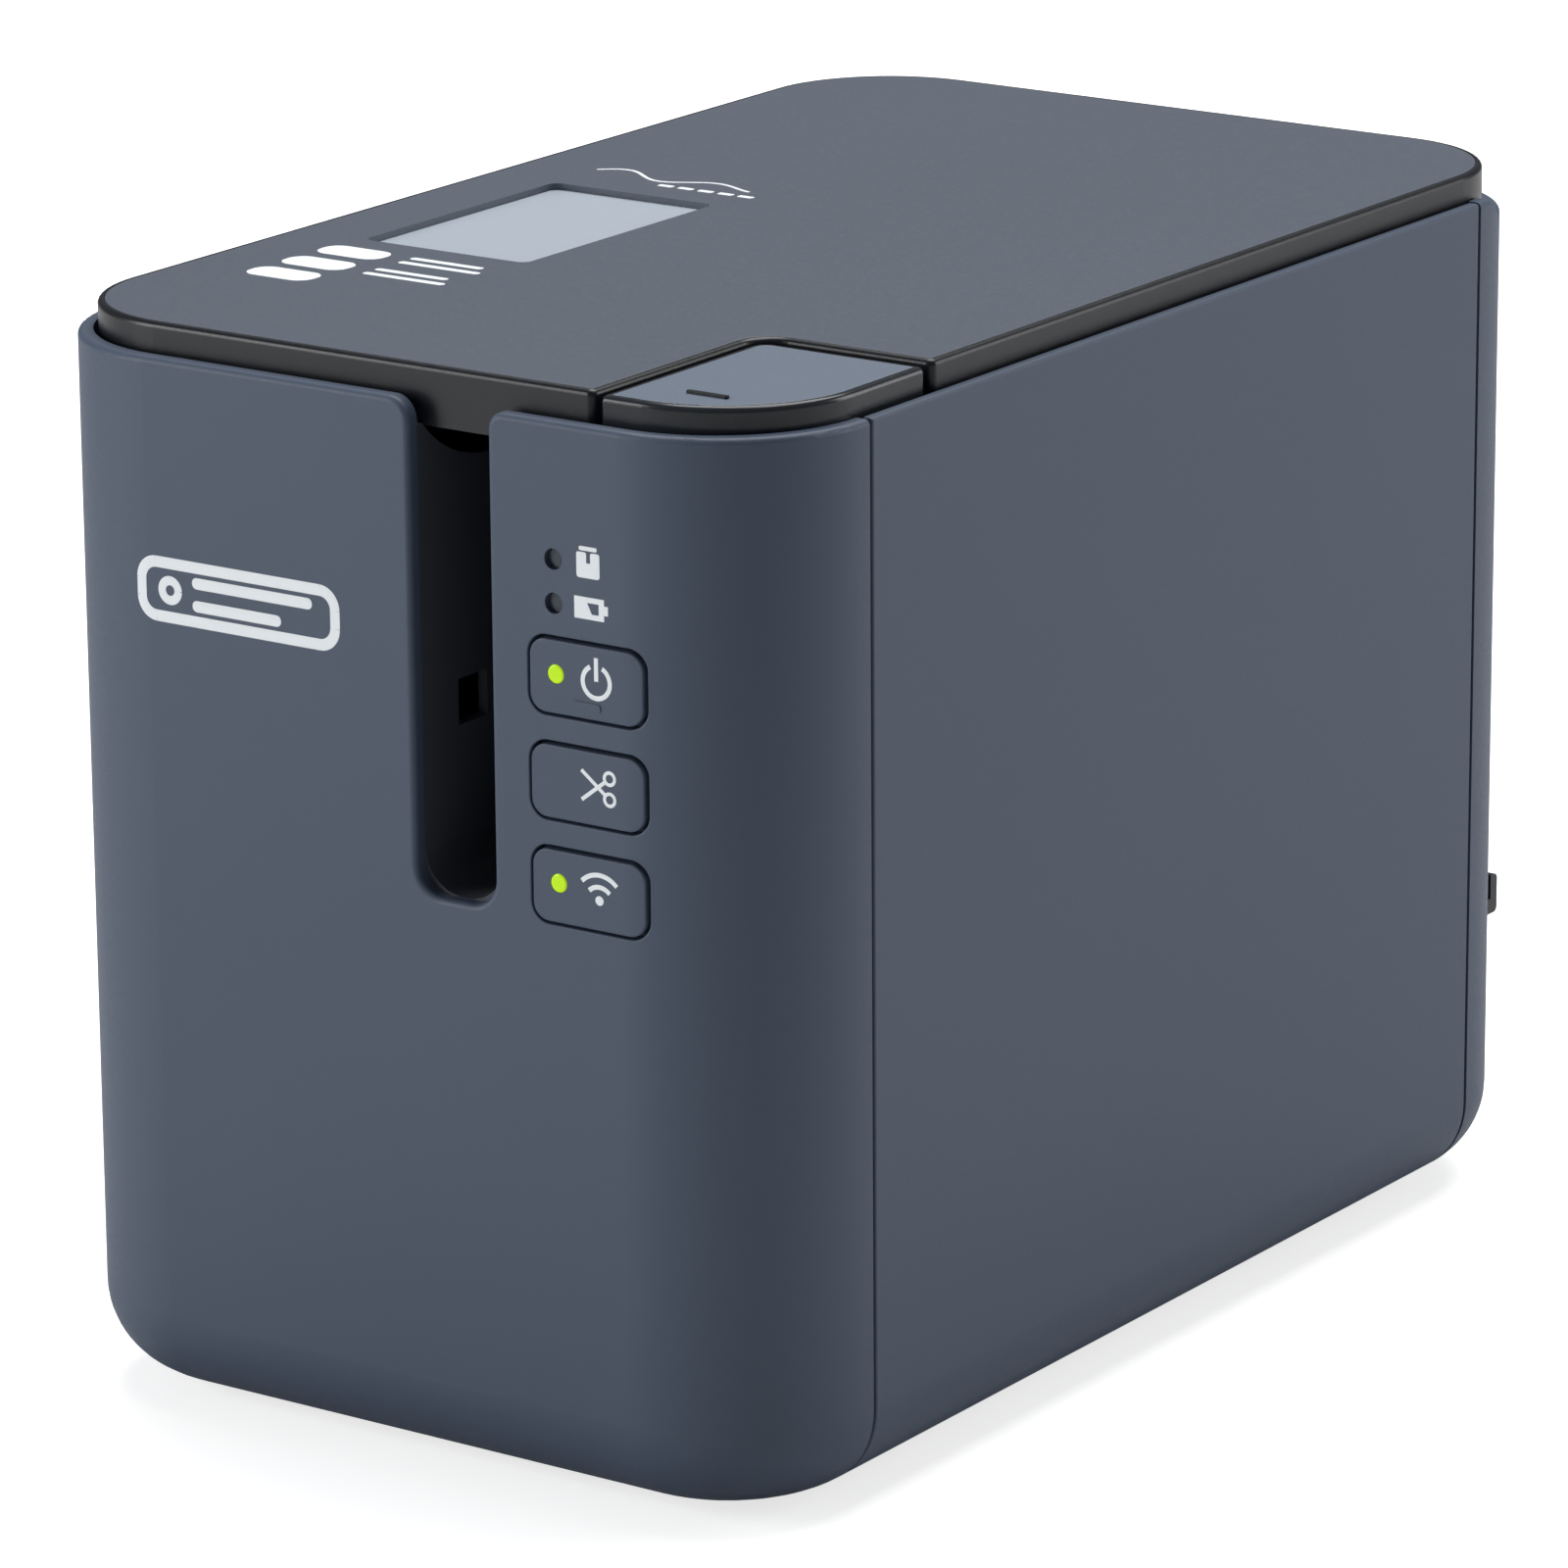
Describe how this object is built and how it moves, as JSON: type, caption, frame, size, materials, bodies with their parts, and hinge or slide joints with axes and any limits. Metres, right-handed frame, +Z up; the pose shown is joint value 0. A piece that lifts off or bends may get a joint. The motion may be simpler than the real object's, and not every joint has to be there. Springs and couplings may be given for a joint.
{
  "type": "desktop label printer",
  "caption": "Desktop label printer: slate case with tall tape slot, front keys, hinged top cover with window, corner cover key, rear sockets and a roller, gear and cutter mechanism.",
  "frame": {"origin": "on the table, under the centre of the whole object's outline", "axes": "+X to the right of someone facing the tape slot, +Y to the rear, +Z up"},
  "size_m": [0.118, 0.1945, 0.146],
  "materials": {
    "slate_case": "fine spark-eroded texture",
    "slate_cover": "fine spark-eroded texture, a little glossier than the case",
    "black_case": "satin moulded black",
    "black_gloss": "polished moulded black",
    "window_plastic": "clear moulded window, slightly smoked",
    "lamp_green": "clear light rod lit lime green",
    "lamp_dark": "unlit smoked light rod",
    "rubber_black": "matte moulded rubber",
    "zinc_steel": "zinc-plated steel sheet",
    "blade_steel": "ground blade steel",
    "gear_nylon": "natural acetal",
    "board_green": "green circuit board",
    "chip_black": "moulded chip packages",
    "cassette_plastic": "grey moulded cassette",
    "label_white": "paper and film labels",
    "ceramic_head": "glazed ceramic print head",
    "aluminium_sink": "extruded aluminium",
    "roller_rubber": "ground silicone rubber"
  },
  "bodies": {
    "case": {"base_screws": "zinc_steel", "base_tray": "black_case", "battery_connector_cover": "black_case", "board_parts": "chip_black", "cassette_bay": "black_case", "cassette_label": "label_white", "cassette_lower_case": "cassette_plastic", "cassette_rolls": "label_white", "cassette_upper_case": "cassette_plastic", "cord_hook": "black_case", "cutter_bracket": "zinc_steel", "cutter_motor": "zinc_steel", "dc_socket": "chip_black", "feed_motor": "zinc_steel", "fixed_blade": "blade_steel", "front_board": "board_green", "front_board_cable": "label_white", "front_board_parts": "chip_black", "front_cover": "slate_case", "head_heat_sink": "aluminium_sink", "indicator_lamps": "lamp_dark", "key_spring": "zinc_steel", "label_tape": "label_white", "lan_socket": "chip_black", "main_board": "board_green", "mechanism_frame": "zinc_steel", "mechanism_screws": "zinc_steel", "rear_cover": "slate_case", "rubber_feet": "rubber_black", "serial_socket": "chip_black", "side_cover_left": "slate_case", "side_cover_right": "slate_case", "tape_exit_guide": "black_case", "thermal_head": "ceramic_head", "usb_device_socket": "zinc_steel", "usb_host_socket": "zinc_steel", "wireless_module": "zinc_steel"},
    "cover": {"cover_panel": "slate_cover", "cover_frame": "black_case", "cover_window": "window_plastic", "cover_catch": "black_case", "hinge_pins": "zinc_steel"},
    "cover_key": {"open_key": "black_gloss", "open_key_cap": "slate_cover"},
    "latch": {"latch_lever": "black_case"},
    "power_key": {"power_button": "slate_case", "power_lamp": "lamp_green"},
    "cut_key": {"cut_button": "slate_case"},
    "wireless_key": {"wireless_button": "slate_case", "wireless_lamp": "lamp_green"},
    "roller_arm": {"roller_holder": "black_case"},
    "platen": {"platen_shaft": "zinc_steel", "platen_rubber": "roller_rubber", "platen_gear": "gear_nylon"},
    "feed": {"feed_roller": "roller_rubber"},
    "drive": {"drive_gear": "gear_nylon"},
    "pinion": {"motor_pinion": "gear_nylon"},
    "ribbon": {"ribbon_spindle": "gear_nylon"},
    "cutter_blade": {"moving_blade": "blade_steel"},
    "cutter_drive": {"cutter_pinion": "gear_nylon"}
  },
  "joints": [
    {"name": "top_cover_hinge", "type": "hinge", "parent": "case", "child": "cover", "pos_m": [0, 0.0825, 0.1425], "axis": [-1, 0, 0], "range_deg": [0, 95]},
    {"name": "cover_key_press", "type": "slide", "parent": "case", "child": "cover_key", "axis": [0, 0, -1], "range_m": [0, 0.002], "stiffness_N_per_m": 800, "springref_m": -0.0015, "deforming": ["key_spring"]},
    {"name": "latch_lever_swing", "type": "hinge", "parent": "case", "child": "latch", "pos_m": [0.0369, -0.066, 0.124], "axis": [1, 0, 0], "range_deg": [0, 12]},
    {"name": "power_press", "type": "slide", "parent": "case", "child": "power_key", "axis": [0, 1, 0], "range_m": [0, 0.0008], "stiffness_N_per_m": 1500, "springref_m": -0.0004},
    {"name": "cut_press", "type": "slide", "parent": "case", "child": "cut_key", "axis": [0, 1, 0], "range_m": [0, 0.0008], "stiffness_N_per_m": 1500, "springref_m": -0.0004},
    {"name": "wireless_press", "type": "slide", "parent": "case", "child": "wireless_key", "axis": [0, 1, 0], "range_m": [0, 0.0008], "stiffness_N_per_m": 1500, "springref_m": -0.0004},
    {"name": "roller_arm_swing", "type": "hinge", "parent": "case", "child": "roller_arm", "pos_m": [0.0172, 0.015, 0.105], "axis": [0, 0, 1], "range_deg": [0, 12]},
    {"name": "drive_gear_turn", "type": "hinge", "parent": "case", "child": "drive", "pos_m": [-0.0044, -0.025, 0.077], "axis": [0, 0, 1], "continuous": true},
    {"name": "motor_pinion_turn", "type": "hinge", "parent": "case", "child": "pinion", "pos_m": [-0.02013, -0.03601, 0.077], "axis": [0, 0, 1], "continuous": true},
    {"name": "ribbon_spindle_turn", "type": "hinge", "parent": "case", "child": "ribbon", "pos_m": [-0.02137, -0.00803, 0.095], "axis": [0, 0, 1], "continuous": true},
    {"name": "platen_turn", "type": "hinge", "parent": "roller_arm", "child": "platen", "pos_m": [0.0172, -0.025, 0.105], "axis": [0, 0, 1], "continuous": true},
    {"name": "feed_roller_turn", "type": "hinge", "parent": "roller_arm", "child": "feed", "pos_m": [0.0148, -0.044, 0.105], "axis": [0, 0, 1], "continuous": true},
    {"name": "cutter_blade_swing", "type": "hinge", "parent": "case", "child": "cutter_blade", "pos_m": [0.016, -0.0533, 0.076], "axis": [0, -1, 0], "range_deg": [0, 20]},
    {"name": "cutter_pinion_turn", "type": "hinge", "parent": "case", "child": "cutter_drive", "pos_m": [0.02886, -0.0533, 0.06068], "axis": [0, -1, 0], "range_deg": [-80.5, 0]}
  ],
  "couplings": [
    {"joint": "latch_lever_swing", "follows": "cover_key_press", "rad_per_m": 104.7},
    {"joint": "roller_arm_swing", "follows": "top_cover_hinge", "ratio": 0.126},
    {"joint": "motor_pinion_turn", "follows": "drive_gear_turn", "ratio": -3},
    {"joint": "ribbon_spindle_turn", "follows": "drive_gear_turn", "ratio": -1.5},
    {"joint": "platen_turn", "follows": "drive_gear_turn", "ratio": -2},
    {"joint": "feed_roller_turn", "follows": "drive_gear_turn", "ratio": -3.3333},
    {"joint": "cutter_pinion_turn", "follows": "cutter_blade_swing", "ratio": -4}
  ]
}
